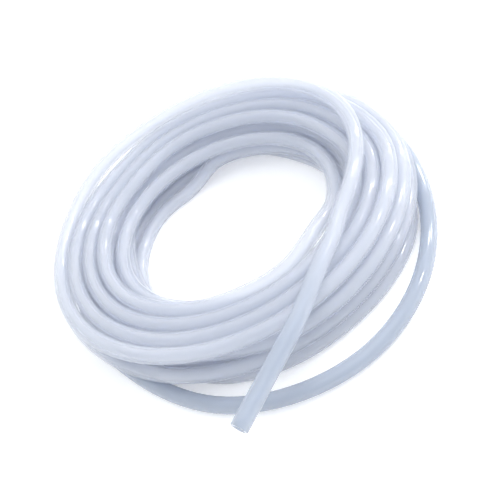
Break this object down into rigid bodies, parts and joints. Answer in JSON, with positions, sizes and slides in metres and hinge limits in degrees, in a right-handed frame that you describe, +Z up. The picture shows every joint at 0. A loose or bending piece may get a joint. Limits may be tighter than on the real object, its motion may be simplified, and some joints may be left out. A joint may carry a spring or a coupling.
{
  "type": "silicone tubing coil",
  "caption": "Coil of soft translucent silicone tubing, wound in layers into a flat ring, with one loose turn round it and a free cut end over the top.",
  "frame": {"origin": "middle of the bounding box, on the table the coil lies on", "axes": "+Z up along the coil's axis, +X to the right and +Y away as seen in the picture; the free end points to -X -Y"},
  "size_m": [0.197, 0.2478, 0.0423],
  "materials": {
    "silicone": "milky translucent silicone rubber with a smooth glossy skin"
  },
  "bodies": {
    "root": {"tubing": "silicone"}
  },
  "joints": []
}
